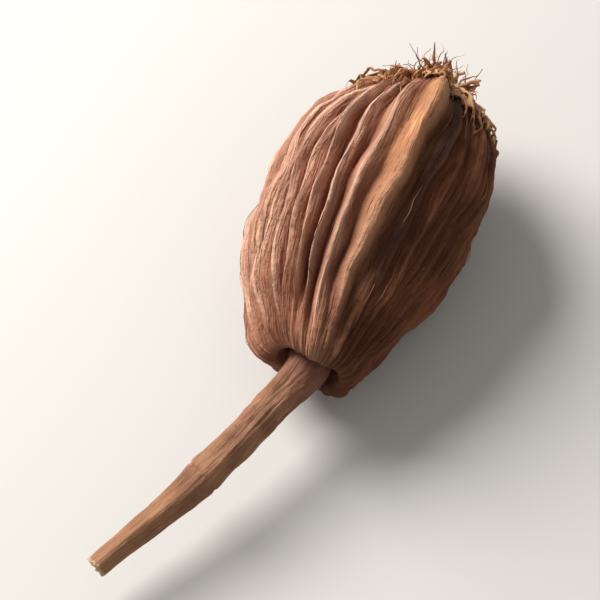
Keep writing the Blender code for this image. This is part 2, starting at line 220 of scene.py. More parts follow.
# The husk's colours on a screen, 0 to 255: on its calm, darker side, then on its paler side with more ribs
# Each pair is a shaded and a lit copy of one colour: the darker side is painted shade, the paler side painted
# light
SKIN_BLOTCH = (90, 48, 28), (136, 85, 63)
SKIN_GROUND = (130, 77, 48), (176, 122, 95)
SKIN_DUST = (100, 66, 44), (158, 118, 88)
SKIN_FIBRE = (124, 80, 56), (198, 146, 114)
SKIN_BLOOM_AND_HIGHLIGHT = (156, 108, 82), (240, 198, 172)
# In the grooves: partly the skin's own darker colour, partly painted shade
SKIN_GROOVE_AND_SHADE = (54, 26, 17), (118, 68, 50)

# Its other colours: the first rib's dull and bright gold and its blotches, the torn skin, and the specks
GOLD_DULL, GOLD_BRIGHT, GOLD_BLOTCH = (142, 88, 60), (208, 154, 112), (192, 140, 88)
SKIN_TORN, SKIN_SPECK = (196, 148, 106), (60, 30, 19)

# The stalk's and the flower's colours
BARK_DARK, BARK_PALE, BARK_FURROW = (116, 73, 49), (174, 127, 92), (84, 48, 33)
BARK_TIP, BARK_ROOT, BARK_SPECK, BARK_CUT = (168, 122, 84), (104, 58, 44), (84, 50, 36), (206, 172, 134)
FLOWER_DARK, FLOWER_PALE = (118, 66, 44), (206, 158, 112)
FLOWER_ROOT, FLOWER_TIP = (88, 48, 32), (212, 170, 122)


class Field:
    """A socket of a node tree. Sums, products and the like of fields become math nodes of the same tree."""

    def __init__(self, socket):
        self.socket = socket
        self.tree = socket.id_data

    def __add__(self, other):
        return math_node("ADD", self, other)

    def __radd__(self, other):
        return math_node("ADD", other, self)

    def __sub__(self, other):
        return math_node("SUBTRACT", self, other)

    def __rsub__(self, other):
        return math_node("SUBTRACT", other, self)

    def __mul__(self, other):
        return math_node("MULTIPLY", self, other)

    def __rmul__(self, other):
        return math_node("MULTIPLY", other, self)

    def __truediv__(self, other):
        return math_node("DIVIDE", self, other)

    def __pow__(self, other):
        return math_node("POWER", self, other)

    def __neg__(self):
        return math_node("MULTIPLY", self, -1.0)


def plug(value, socket):
    """Links a field to a socket, or sets the socket to a plain value."""
    if isinstance(value, Field):
        value.tree.links.new(value.socket, socket)
    elif value is not None:
        socket.default_value = value


def add_node(tree, kind, *values, **settings):
    """A node with its settings, and its sockets filled in order."""
    node = tree.nodes.new(kind)
    for name, setting in settings.items():
        setattr(node, name, setting)
    for value, socket in zip(values, [socket for socket in node.inputs if socket.enabled]):
        plug(value, socket)
    return node


def first_output(node):
    return Field(next(socket for socket in node.outputs if socket.enabled))


def tree_of(values):
    return next(value.tree for value in values if isinstance(value, Field))


def math_node(operation, *values):
    return first_output(add_node(tree_of(values), "ShaderNodeMath", *values, operation=operation))


def vector_node(operation, *values):
    return first_output(add_node(tree_of(values), "ShaderNodeVectorMath", *values, operation=operation))


def sine(value):
    return math_node("SINE", value)


def cosine(value):
    return math_node("COSINE", value)


def is_zero(value):
    return math_node("COMPARE", value, 0.0, 0.5)


def larger(value, other):
    return math_node("MAXIMUM", value, other)


def clamped(value):
    return math_node("MINIMUM", math_node("MAXIMUM", value, 0.0), 1.0)


def fraction(value):
    return math_node("FRACT", value)


def blend(low, high, share):
    return low + (high - low) * share


def ease(low, high, value):
    """Rises smoothly from 0 at low to 1 at high."""
    tree = tree_of((low, high, value))
    node = add_node(tree, "ShaderNodeMapRange", value, low, high, interpolation_type="SMOOTHSTEP")
    return first_output(node)


def bell(value, width):
    return math_node("EXPONENT", -((value / width) * (value / width)))


def scatter(step, index, start, low, high):
    """A value between low and high for each index, spread evenly by multiples of an irrational step."""
    return blend(low, high, fraction(index * step + start))


def vector(x, y, z):
    tree = tree_of((x, y, z))
    return first_output(add_node(tree, "ShaderNodeCombineXYZ", x, y, z))


def parts(value):
    node = add_node(value.tree, "ShaderNodeSeparateXYZ", value)
    return [Field(socket) for socket in node.outputs]


def plus(*vectors):
    total = vectors[0]
    for other in vectors[1:]:
        total = vector_node("ADD", total, other)
    return total


def times(value, factor):
    """A vector, or the same vector everywhere, times a number."""
    tree = tree_of((value, factor))
    node = add_node(tree, "ShaderNodeVectorMath", operation="SCALE")
    plug(value, node.inputs["Vector"])
    plug(factor, node.inputs["Scale"])
    return first_output(node)


def noise(place, scale=1.0, detail=2.0):
    """Smooth noise from -1 to 1 at a place."""
    node = place.tree.nodes.new("ShaderNodeTexNoise")
    plug(place, node.inputs["Vector"])
    plug(scale, node.inputs["Scale"])
    plug(detail, node.inputs["Detail"])
    return Field(node.outputs[0]) * 2.0 - 1.0


def grained_noise(grain, scale, detail):
    """Noise from -1 to 1 that is stretched along a grain."""
    return noise(vector_node("MULTIPLY", grain, scale), 1.0, detail)


def sum_of_waves(waves, around, along):
    total = 0.0
    for turns_around, turns_along, start, size in waves:
        total = total + sine((around * turns_around + along * turns_along + start) * TURN) * size
    return total


def new_tree(name, kind, inputs, outputs):
    """A node tree with named inputs and outputs. Returns it, its inputs as fields, and its output node."""
    tree = bpy.data.node_groups.new(name, kind)
    for title, socket_type in inputs.items():
        tree.interface.new_socket(title, in_out="INPUT", socket_type=socket_type)
    for title, socket_type in outputs.items():
        tree.interface.new_socket(title, in_out="OUTPUT", socket_type=socket_type)
    given = tree.nodes.new("NodeGroupInput")
    result = tree.nodes.new("NodeGroupOutput")
    return tree, {title: Field(given.outputs[title]) for title in inputs}, result


FLOAT, WHOLE, VECTOR = "NodeSocketFloat", "NodeSocketInt", "NodeSocketVector"
GEOMETRY = "NodeSocketGeometry"


def tube_grid(tree, sides, rows):
    """A closed tube of quads. Returns it, and how far around, along and out each of its points is."""
    node = add_node(tree, "GeometryNodeMeshCylinder", fill_type="TRIANGLE_FAN")
    plug(sides, node.inputs["Vertices"])
    plug(rows, node.inputs["Side Segments"])
    plug(1.0, node.inputs["Radius"])
    plug(1.0, node.inputs["Depth"])
    x, y, z = parts(Field(tree.nodes.new("GeometryNodeInputPosition").outputs[0]))
    around = fraction(math_node("ARCTAN2", y, x) / TURN + 1.0)
    return Field(node.outputs["Mesh"]), around, z + 0.5, math_node("SQRT", x * x + y * y)


def stored(geometry, name, value, data_type="FLOAT"):
    """Keeps a field on each point of the geometry under a name, for the materials to read."""
    node = geometry.tree.nodes.new("GeometryNodeStoreNamedAttribute")
    node.data_type = data_type
    plug(geometry, node.inputs["Geometry"])
    plug(name, node.inputs["Name"])
    plug(value, next(socket for socket in node.inputs if socket.name == "Value" and socket.enabled))
    return Field(node.outputs["Geometry"])


def moved(geometry, place):
    node = geometry.tree.nodes.new("GeometryNodeSetPosition")
    plug(geometry, node.inputs["Geometry"])
    plug(place, node.inputs["Position"])
    return Field(node.outputs["Geometry"])


def finished(geometry, result, material):
    """Ends a tree: instances made real, shaded smooth, with its material."""
    tree = geometry.tree
    real = add_node(tree, "GeometryNodeRealizeInstances", geometry)
    smooth = add_node(tree, "GeometryNodeSetShadeSmooth", Field(real.outputs[0]))
    coated = tree.nodes.new("GeometryNodeSetMaterial")
    plug(Field(smooth.outputs[0]), coated.inputs["Geometry"])
    coated.inputs["Material"].default_value = material
    tree.links.new(coated.outputs[0], result.inputs["Geometry"])


def lying(x, radial, around):
    """From a place about the pod's own axis to where it lies."""
    y, z = radial * cosine(around), radial * sine(around)
    return lay_down(x, y, z)


def lay_down(x, y, z):
    lean_x, lean_z = math.cos(REST_PITCH), math.sin(REST_PITCH)
    height = larger(z * lean_x - x * lean_z + AXIS_HEIGHT, 0.0)
    return vector(x * lean_x + z * lean_z - FLAT_SPOT_X, y - FLAT_SPOT_Y, height)


def laid(x):
    """Where a point of the pod's own axis comes to lie."""
    turned = Matrix.Rotation(REST_PITCH, 3, "Y") @ Vector((x, 0, 0))
    return turned + Vector((-FLAT_SPOT_X, -FLAT_SPOT_Y, AXIS_HEIGHT))


def grow(name, tree, sizes, line, nodes=()):
    """Runs a geometry tree on a line of points, and keeps the result as a mesh that rides on the pod."""
    mesh = bpy.data.meshes.new(name)
    mesh.from_pydata(line, [(index, index + 1) for index in range(len(line) - 1)], [])
    obj = bpy.data.objects.new(name, mesh)
    bpy.context.scene.collection.objects.link(obj)
    modifier = obj.modifiers.new("grow", "NODES")
    modifier.node_group = tree
    for item in tree.interface.items_tree:
        if item.in_out == "INPUT" and item.name in sizes:
            modifier[item.identifier] = sizes[item.name]
    evaluated = obj.evaluated_get(bpy.context.evaluated_depsgraph_get())
    grown = bpy.data.meshes.new_from_object(evaluated)
    obj.modifiers.clear()
    obj.data = grown
    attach(obj, "root")
    if nodes:
        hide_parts(*nodes)
    return obj


def crest_height(rib, along):
    own = scatter(HEIGHT_STEP, rib, 0.3, *RIB_HEIGHT_SHARES)
    swell = sine((along * RIB_SWELL_TURNS + rib * 0.37) * TURN) * RIB_SWELL + 1.0
    bumps = sine((along * RIB_BUMP_TURNS + rib * 0.71) * TURN) * RIB_BUMP + 1.0
    first = is_zero(rib) * ease(*FIRST_RIB_RISES, along) * ease(*FIRST_RIB_SINKS, along) * FIRST_RIB_HEIGHT
    return own * swell * bumps * RIB_HEIGHT + first


def groove_depth(groove, along):
    own = scatter(DEPTH_STEP, groove, 0.1, *GROOVE_DEPTH_SHARES)
    begin = scatter(BEGIN_STEP, groove, 0.2, *GROOVE_BEGINS)
    finish = scatter(FINISH_STEP, groove, 0.6, *GROOVE_FINISHES)
    run = ease(begin, begin + GROOVE_RUN_OUT, along) * ease(finish, finish - GROOVE_RUN_OUT, along)
    calm = 1.0 - bell((groove + 0.5) * (TURN / RIBS) - CALM_TURN, CALM_SPREAD) * CALM_LOSS
    first = is_zero(groove) * ease(*FIRST_GROOVE_SINKS, along) * FIRST_GROOVE_DEPTH
    return (own * calm * GROOVE_DEPTH + first) * run


def rib_angle(around, along, body):
    turned = around * TURN
    crowd = sine(turned - CROWDED_TURN) + math.sin(CROWDED_TURN)
    from_first = (around - math_node("ROUND", around)) * TURN
    spread = from_first * bell(from_first * (RIBS / TURN), FIRST_RIB_SPREAD) * FIRST_RIB_BREADTH
    sideways = (along - 0.5) * TWIST + sum_of_waves(RIB_WAVES, around, along) * body
    return turned + FIRST_RIB_ANGLE - crowd * CROWDING + spread * body + sideways, from_first


def husk_spot(around, along):
    """What the husk's surface is worked out from, at a place by its shares around and along it."""
    body = ease(BASE_RIM_AT, BODY_FROM, along) * ease(APEX_RIM_AT, BODY_TO, along)
    between = ease(BASE_RIM_AT, 2 * BASE_RIM_AT, along) * ease(APEX_RIM_AT, 2 * APEX_RIM_AT - 1, along)
    turned = around * TURN
    grain = vector(cosine(turned), sine(turned), along)
    angle, from_first = rib_angle(around, along, body)
    angle = angle + grained_noise(grain, WARP_SCALE, 1.0) * body * WARP
    ribs_away = from_first * (RIBS / TURN)
    kinked = noise(vector(along * FIRST_KINK_TURNS, 0.5, 0.0), 1.0, 2.0)
    angle = angle + kinked * bell(ribs_away, FIRST_KINK_SPREAD) * body * FIRST_KINK
    return SimpleNamespace(
        around=around, along=along, body=body, between=between, grain=grain, angle=angle,
        from_first=from_first, ribs_away=ribs_away,
    )


def rib_relief(spot):
    """The ribs, with those that the pod lies on pressed. Returns their ridge, valley and depth as well."""
    rib = math_node("FLOOR", spot.around * RIBS)
    across = spot.around * RIBS - rib
    next_rib = rib + 1.0 - is_zero(rib + 1.0 - RIBS) * RIBS
    crests = blend(crest_height(rib, spot.along), crest_height(next_rib, spot.along), ease(0.0, 1.0, across))
    sharpness = blend(RIB_SHARPNESS, FIRST_RIB_SHARPNESS, bell(spot.ribs_away, FIRST_RIB_SPREAD))
    ridge = math_node("ABSOLUTE", cosine(across * math.pi))
    valley = 1.0 - ridge ** sharpness
    depth = groove_depth(rib, spot.along)
    pressed = bell(spot.angle - REST_ANGLE, PRESSED_SPREAD) * bell(spot.along - PRESSED_AT, PRESSED_LENGTH)
    relief = blend(crests - depth * valley, RIB_HEIGHT / 2, pressed * PRESSED_SHARE) * spot.between
    return relief, ridge, valley, depth


def with_wall(spot, relief):
    """Adds the wall's dents, the hollow beside the first rib, the lip around the flower, and the lobes."""
    relief = relief + sum_of_waves(WALL_WAVES, spot.around, spot.along) * spot.body
    hollow = bell(spot.from_first - HOLLOW_TURN, HOLLOW_SPREAD) * ease(*HOLLOW_RUN, spot.along) * spot.body
    lip = (sum_of_waves(LIP_WAVES, spot.around, spot.along) + 1.0) * bell(spot.along - LIP_AT, LIP_SPREAD)
    relief = relief - hollow * HOLLOW_DEPTH + lip * LIP_HEIGHT
    lobes = cosine((spot.angle - FIRST_RIB_ANGLE) * (CORNERS / 2))
    peak = ease(BASE_RIM_AT, LOBE_PEAK_AT, spot.along) * ease(LOBE_END_AT, LOBE_PEAK_AT, spot.along)
    return relief + peak * LOBE_REACH * (lobes * lobes - 0.5)


def band(ribs_away, middle, spread):
    return bell(ribs_away - middle, spread)


def first_rib_bands(spot):
    """The first rib's golden face, its raised crest, the drop beyond it, and painted shade on both its sides.
    """
    away = spot.ribs_away
    raised = ease(*FIRST_FACE_RISES, spot.along) * ease(*FIRST_FACE_SINKS, spot.along)
    ragged = grained_noise(spot.grain, RAGGED_SCALE, 2.0) * 0.35
    patch = band(away, *PATCH_BAND) * bell(spot.along - GOLD_PATCH_AT, GOLD_PATCH_REACH)
    gold = clamped(band(away + ragged * 0.4, *GOLD_BAND) + patch * (ragged + 0.8)) * raised
    crest = band(away, *CREST_BAND) * raised * FIRST_CREST_HEIGHT
    drop = band(away, *DROP_BAND) * raised * FIRST_DROP_DEPTH
    shade = (band(away, *NEAR_SHADE_BAND) * 0.75 + band(away, *FAR_SHADE_BAND)) * raised
    return gold, crest, drop, shade


def fine_relief(spot, valley, gold):
    """Striae along the ribs, puckers across them, dents, the first rib's knots, the torn lip, and creases."""
    striae = grained_noise(spot.grain, STRIA_SCALE, 4.0) * STRIA_HEIGHT
    crease = bell(grained_noise(spot.grain, CREASE_SCALE, 1.0), CREASE_BREADTH) * (1.0 - gold * 0.9)
    fine_crease = bell(grained_noise(spot.grain, FINE_CREASE_SCALE, 1.0), FINE_CREASE_BREADTH)
    fine_crease = fine_crease * (1.0 - gold * 0.9)
    creases = crease * CREASE_DEPTH + fine_crease * FINE_CREASE_DEPTH
    puckers = grained_noise(spot.grain, WRINKLE_SCALE, 3.0) * WRINKLE_HEIGHT
    dents = grained_noise(spot.grain, DENT_SCALE, 1.0) * DENT_HEIGHT
    knots = grained_noise(spot.grain, KNOT_SCALE, 2.0) * gold * KNOT_HEIGHT
    torn = grained_noise(spot.grain, TORN_SCALE, 2.0) * bell(spot.along - LIP_AT, TORN_SPREAD)
    relief = striae + puckers * (1.0 - valley * 0.5) + dents + knots + torn * TORN_HEIGHT - creases
    # The creases' mask also darkens the skin's colour, as painted shade
    return relief, larger(crease, fine_crease * 0.6)


def wrapped(spot, relief, outline, spoke):
    """Turns the husk's outline around its axis, with the relief raised from it."""
    section = cosine(spot.angle * 2.0) * spot.body * HUSK_FLATNESS
    section = section + cosine((spot.angle - FIRST_RIB_ANGLE) * CORNERS) * spot.body * CORNER_SWELL + 1.0
    curve = add_node(outline.tree, "GeometryNodeCurveSplineType", outline, spline_type="CATMULL_ROM")
    sample = outline.tree.nodes.new("GeometryNodeSampleCurve")
    sample.use_all_curves = True
    plug(Field(curve.outputs[0]), sample.inputs["Curves"])
    plug(spot.along, sample.inputs["Factor"])
    outline_x, outline_r, to_side = parts(Field(sample.outputs["Position"]))
    slope_x, slope_r, _ = parts(Field(sample.outputs["Tangent"]))
    radius = (outline_r * section + slope_x * relief) * spoke
    y = radius * cosine(spot.angle) + to_side * math.cos(FULL_SIDE_ANGLE)
    z = radius * sine(spot.angle) + to_side * math.sin(FULL_SIDE_ANGLE)
    return lay_down(outline_x - slope_r * relief, y, z)


def husk_surface():
    """The husk's surface: a place by its shares around and along it, lifted off it, and what shows there."""
    tree, given, result = new_tree(
        "husk_surface",
        "GeometryNodeTree",
        {"Outline": GEOMETRY, "Around": FLOAT, "Along": FLOAT, "Spoke": FLOAT, "Lift": FLOAT},
        {"Place": VECTOR, "Grain": VECTOR, "Crest": FLOAT, "Groove": FLOAT, "First": FLOAT},
    )
    spot = husk_spot(given["Around"], given["Along"])
    relief, ridge, valley, depth = rib_relief(spot)
    relief = with_wall(spot, relief)
    gold, crest, drop, shade = first_rib_bands(spot)
    fine, crease = fine_relief(spot, valley, gold)
    keel = ridge ** KEEL_SHARPNESS * (1.0 - clamped(gold + shade)) * KEEL_HEIGHT
    relief = relief + (fine + crest + keel - drop) * spot.between + given["Lift"]

    # The groove mask darkens the colour: partly darker skin in the grooves, and painted shade in grooves,
    # creases and beside the first rib
    sunk = clamped(depth / GROOVE_DEPTH * 1.3) * spot.between
    groove = larger(valley ** SHADE_SHARPNESS * sunk, shade)
    plug(wrapped(spot, relief, given["Outline"], given["Spoke"]), result.inputs["Place"])
    plug(spot.grain, result.inputs["Grain"])
    # The crest mask carries a pale dusty bloom and a painted highlight on the rib crests
    plug(ridge ** BLOOM_AND_HIGHLIGHT_SHARPNESS * sunk, result.inputs["Crest"])
    plug(larger(groove, crease * spot.between * 0.6), result.inputs["Groove"])
    plug(gold, result.inputs["First"])
    return tree


def placed_on_husk(tree, surface, outline, around, along, spoke, lift):
    """The husk_surface group in a tree, with its outputs as fields."""
    group = tree.nodes.new("GeometryNodeGroup")
    group.node_tree = surface
    given = {"Outline": outline, "Around": around, "Along": along, "Spoke": spoke, "Lift": lift}
    for title, value in given.items():
        plug(value, group.inputs[title])
    return {socket.name: Field(socket) for socket in group.outputs}


def outline_curve(tree, line):
    return Field(add_node(tree, "GeometryNodeMeshToCurve", line).outputs[0])


def husk_tree(surface, material):
    inputs = {"Geometry": GEOMETRY, "Columns": WHOLE, "Rows": WHOLE}
    tree, given, result = new_tree("husk", "GeometryNodeTree", inputs, {"Geometry": GEOMETRY})
    grid, around, along, spoke = tube_grid(tree, given["Columns"], given["Rows"])
    shown = placed_on_husk(tree, surface, outline_curve(tree, given["Geometry"]), around, along, spoke, 0.0)
    geometry = stored(grid, "grain", shown["Grain"], "FLOAT_VECTOR")
    for name in ("Crest", "Groove", "First"):
        geometry = stored(geometry, name.lower(), shown[name])
    finished(moved(geometry, shown["Place"]), result, material)
    return tree


def stalk_points():
    """The four points that the stalk's middle line is drawn by."""
    start, way = laid(STALK_START_X), -(laid(1.0) - laid(0.0))
    end = start + STALK_REACH
    last_way = Matrix.Rotation(-STALK_END_TURN, 3, "Z") @ way
    return start, start + way * STALK_FIRST_PULL, end - last_way * STALK_LAST_PULL, end


def stalk_line(given, share):
    """The stalk's middle line at a share of its length."""
    rest = 1.0 - share
    start = times(given["Start"], rest * rest * rest)
    first = times(given["First pull"], rest * rest * share * 3.0)
    last = times(given["Last pull"], rest * share * share * 3.0)
    end = times(given["End"], share * share * share)
    sway = times(given["Sway"], sine(share * TURN) * ease(0.0, 0.3, share))
    return plus(start, first, last, end, sway)


def stalk_girth(given, share, turn):
    """How far the stalk's side is from its middle line, before the bark's wear."""
    radius = blend(given["Radius"], given["Tip radius"], ease(0.5, 1.0, share))
    radius = radius + (given["Root radius"] - given["Radius"]) * bell(share, STALK_ROOT_RUN)
    radius = radius + bell(share - STALK_JOINT_AT, STALK_JOINT_RUN) * STALK_JOINT_SWELL
    beyond_root = ease(0.05, 0.25, share)
    folds = cosine(turn * STALK_FOLDS + share * STALK_FOLD_TWIST) * beyond_root * STALK_FOLD_DEPTH + 1.0
    section = cosine(turn * 2.0 - share * STALK_FOLD_TWIST) * beyond_root * STALK_FLATNESS + 1.0
    return radius * folds * section


def stalk_wear(grain, share):
    """The bark's furrows, and the share of its girth that furrows, bumps and the joint's scar leave."""
    furrows = grained_noise(grain, STALK_FURROW_SCALE, 3.0)
    bumps = grained_noise(grain, STALK_BUMP_SCALE, 3.0)
    scar = bell(share - STALK_JOINT_AT - 0.012 + furrows * 0.010, 0.007)
    return furrows, furrows * STALK_FURROW + bumps * STALK_BUMP - scar * STALK_SCAR + 1.0


def stalk_tree(material):
    points = dict.fromkeys(("Start", "First pull", "Last pull", "End", "Sway"), VECTOR)
    sizes = dict.fromkeys(("Radius", "Root radius", "Tip radius"), FLOAT)
    tree, given, result = new_tree(
        "stalk",
        "GeometryNodeTree",
        {"Geometry": GEOMETRY, "Sides": WHOLE, "Rows": WHOLE, **points, **sizes},
        {"Geometry": GEOMETRY},
    )
    grid, around, share, spoke = tube_grid(tree, given["Sides"], given["Rows"])
    ahead, behind = stalk_line(given, share + STALK_LOOK_AHEAD), stalk_line(given, share - STALK_LOOK_AHEAD)
    heading = vector_node("NORMALIZE", vector_node("SUBTRACT", ahead, behind))
    sideways = vector_node("NORMALIZE", vector_node("CROSS_PRODUCT", heading, (0.0, 0.0, 1.0)))
    upwards = vector_node("CROSS_PRODUCT", sideways, heading)

    turn = around * TURN
    grain = vector(cosine(turn), sine(turn), share)
    furrows, left = stalk_wear(grain, share)
    outward = stalk_girth(given, share, turn) * left * spoke
    cut = ease(0.985, 1.0, share) * grained_noise(grain, STALK_CUT_SCALE, 3.0) * STALK_CUT
    line = stalk_line(given, share + cut)
    place = plus(line, times(sideways, outward * cosine(turn)), times(upwards, outward * sine(turn)))
    geometry = stored(grid, "grain", grain, "FLOAT_VECTOR")
    geometry = stored(geometry, "crest", furrows * 0.5 + 0.5)
    geometry = stored(geometry, "end", clamped(ease(0.993, 1.0, share) + (1.0 - spoke)))
    flipped = add_node(tree, "GeometryNodeFlipFaces", moved(geometry, place))
    finished(Field(flipped.outputs[0]), result, material)
    return tree


def tube_tree(material):
    """The flower's fluted tube."""
    inputs = {"Geometry": GEOMETRY, "Sides": WHOLE, "Rows": WHOLE}
    inputs.update(dict.fromkeys(("Start", "Length", "Radius"), FLOAT))
    tree, given, result = new_tree("flower_tube", "GeometryNodeTree", inputs, {"Geometry": GEOMETRY})
    grid, around, share, spoke = tube_grid(tree, given["Sides"], given["Rows"])
    turn = around * TURN
    radius = given["Radius"] + (TUBE_ROOT_RADIUS - given["Radius"]) * (1.0 - ease(0.1, 0.6, share))
    radius = radius + (TUBE_MOUTH_RADIUS - given["Radius"]) * ease(0.6, 1.0, share)
    grain = vector(cosine(turn), sine(turn), share)
    flutes = cosine(turn * TUBE_FLUTES) * ease(0.3, 0.7, share) * TUBE_FLUTE_DEPTH
    fibres = grained_noise(grain, TUBE_FIBRE_SCALE, 3.0) * TUBE_FIBRE
    radius = radius * (flutes + fibres + 1.0) * spoke
    geometry = stored(grid, "grain", grain, "FLOAT_VECTOR")
    geometry = stored(geometry, "tone", fibres * 2.0 + 0.4)
    finished(moved(geometry, lying(given["Start"] + share * given["Length"], radius, turn)), result, material)
    return tree


TUBE_INPUTS = {"Geometry": GEOMETRY, "Count": WHOLE, "Sides": WHOLE, "Rows": WHOLE}
STRAND_SIZES = (
    "Root", "Roots radius", "Shortest", "Longest", "Least lean", "Most lean", "Least curl", "Most curl",
    "Root radius", "Tip radius", "Breadth", "Every", "Wave", "Ripple", "Offset",
)


def numbered_tubes(tree, given):
    """Many closed tubes. Returns them, their numbers, and where each of their points is, as in tube_grid."""
    spots = add_node(tree, "GeometryNodePoints", given["Count"])
    index = Field(tree.nodes.new("GeometryNodeInputIndex").outputs[0])
    numbered = stored(Field(spots.outputs[0]), "strand", index)
    grid, around, share, spoke = tube_grid(tree, given["Sides"], given["Rows"])
    copies = tree.nodes.new("GeometryNodeInstanceOnPoints")
    plug(numbered, copies.inputs["Points"])
    plug(grid, copies.inputs["Instance"])
    real = add_node(tree, "GeometryNodeRealizeInstances", Field(copies.outputs[0]))
    number = tree.nodes.new("GeometryNodeInputNamedAttribute")
    number.data_type = "FLOAT"
    number.inputs["Name"].default_value = "strand"
    return Field(real.outputs[0]), Field(number.outputs["Attribute"]), around, share, spoke


def strand_tree(material):
    """Strands that fan out from the flower's axis. Each is a flat ribbon or a fibre, bent in an arc."""
    inputs = {**TUBE_INPUTS, **dict.fromkeys(STRAND_SIZES, FLOAT)}
    tree, given, result = new_tree("strands", "GeometryNodeTree", inputs, {"Geometry": GEOMETRY})
    copies, number, around, share, spoke = numbered_tubes(tree, given)
    index = number + given["Offset"]
    lean = scatter(LEAN_STEP, index, 0.0, given["Least lean"], given["Most lean"])
    curl = scatter(CURL_STEP, index, 0.3, given["Least curl"], given["Most curl"])
    length = scatter(LENGTH_STEP, index, 0.6, given["Shortest"], given["Longest"])
    azimuth = index * GOLDEN_ANGLE
    flat = math_node("LESS_THAN", fraction(index / given["Every"] + 0.001), 0.01)
    breadth = blend(1.0, given["Breadth"], flat)

    bend, chord = lean + curl * share, lean + curl * share * 0.5
    thin = blend(given["Root radius"], given["Tip radius"], share) * spoke
    frayed = noise(vector(index * 3.1, share * 3.0, around * 2.0), 1.0, 2.0) * 0.35 + 1.0
    turn = around * TURN
    tangent = cosine(turn) * thin * breadth * frayed * (1.0 - ease(0.75, 1.0, share) * 0.6)
    outward = sine(turn) * thin
    loosened = ease(0.0, 0.4, share)
    wander = noise(vector(index * 1.7, share * 2.6, 0.5), 1.0, 1.0) * given["Wave"] * loosened
    outward = outward + noise(vector(index * 2.9, share * 3.4, 4.5), 1.0, 1.0) * given["Ripple"] * loosened
    x = given["Root"] + length * share * cosine(chord) + outward * sine(bend)
    radial = given["Roots radius"] * sine(lean) + length * share * sine(chord) - outward * cosine(bend)
    tangent = tangent + wander
    y = radial * cosine(azimuth) - tangent * sine(azimuth)
    z = radial * sine(azimuth) + tangent * cosine(azimuth)
    geometry = moved(copies, lay_down(x, y, z))
    grain = vector(cosine(turn) + index, sine(turn), share)
    geometry = stored(geometry, "grain", grain, "FLOAT_VECTOR")
    geometry = stored(geometry, "tone", scatter(TONE_STEP, index, 0.2, 0.0, 1.0))
    finished(geometry, result, material)
    return tree


def loose_fibre_tree(surface, material):
    """Fine fibres that have peeled off the crests and lie along the husk."""
    inputs = {**TUBE_INPUTS, "Radius": FLOAT, "Rise": FLOAT}
    tree, given, result = new_tree("loose_fibres", "GeometryNodeTree", inputs, {"Geometry": GEOMETRY})
    copies, index, around, share, spoke = numbered_tubes(tree, given)
    middle = scatter(PLACE_STEP, index, 0.1, 0.14, 0.86)
    reach = scatter(LENGTH_STEP, index, 0.4, 0.05, 0.13)
    along = middle + (share - 0.5) * reach
    drift = noise(vector(index * 2.3, share * 1.2, 0.0), 1.0, 1.0) * 0.005
    height = (sine(share * math.pi) * 1.4 - 0.4) * scatter(RISE_STEP, index, 0.7, 0.3, 1.0)
    turn = around * TURN
    thin = given["Radius"] * (1.0 - share * 0.5) * spoke
    side = cosine(turn) * thin * (1 / (7.0 * MM * TURN))
    own = fraction(index * TURN_STEP + drift + side)
    lift = height * given["Rise"] + sine(turn) * thin
    shown = placed_on_husk(tree, surface, outline_curve(tree, given["Geometry"]), own, along, 1.0, lift)
    geometry = moved(copies, shown["Place"])
    geometry = stored(geometry, "grain", vector(cosine(turn) + index, sine(turn), share), "FLOAT_VECTOR")
    geometry = stored(geometry, "tone", scatter(TONE_STEP, index, 0.2, 0.1, 0.7))
    finished(geometry, result, material)
    return tree


RIM_SIZES = ("Breadth", "Rise", "Thickness", "Least reach", "Most reach")


def torn_rim_tree(surface, material):
    """Crinkled skin torn loose around the flower: ribbons along the lip, and strands down the shoulder."""
    inputs = {**TUBE_INPUTS, **dict.fromkeys(RIM_SIZES, FLOAT)}
    tree, given, result = new_tree("torn_rim", "GeometryNodeTree", inputs, {"Geometry": GEOMETRY})
    copies, index, around, share, spoke = numbered_tubes(tree, given)
    turn = around * TURN
    thin = (ease(0.0, 0.15, share) * ease(1.0, 0.7, share) * 0.85 + 0.15) * spoke
    crinkle = noise(vector(index * 2.3, share * 3.0, 1.5), 1.0, 1.0)
    swerve = noise(vector(index * 3.7, share * 2.4, 6.5), 1.0, 1.0)
    hanging = math_node("LESS_THAN", fraction(index * 0.5 + 0.001), 0.25)
    thin = thin * (1.1 - share * hanging * 0.75)
    across = cosine(turn) * thin
    reach = scatter(LENGTH_STEP, index, 0.4, given["Least reach"], given["Most reach"])
    sway = swerve * ease(0.0, 0.5, share) * 0.028 + across * 0.0045
    own = fraction(index * TURN_STEP + blend((share - 0.5) * reach, sway, hanging))
    begin = scatter(PLACE_STEP, index, 0.1, 0.862, 0.930)
    slip = blend(swerve * 0.020 + across * given["Breadth"], share * reach * -0.62, hanging)
    frill = across * noise(vector(index, share * 6.0, 3.5), 1.0, 1.0) * 0.8
    rise = blend(crinkle + frill + 0.8, crinkle * 0.6 + sine(share * math.pi) * 1.7 + 0.2, hanging)
    lift = rise * given["Rise"] + sine(turn) * thin * (hanging * 0.8 + 1.0) * given["Thickness"]
    outline = outline_curve(tree, given["Geometry"])
    shown = placed_on_husk(tree, surface, outline, own, begin + slip, 1.0, lift)
    grain = vector(cosine(turn) + index, share * 4.0, 0.8)
    geometry = stored(moved(copies, shown["Place"]), "grain", grain, "FLOAT_VECTOR")
    geometry = stored(geometry, "tone", scatter(TONE_STEP, index, 0.2, 0.25, 1.0))
    finished(geometry, result, material)
    return tree


def attribute(tree, name, output="Fac"):
    node = tree.nodes.new("ShaderNodeAttribute")
    node.attribute_name = name
    return Field(node.outputs[output])


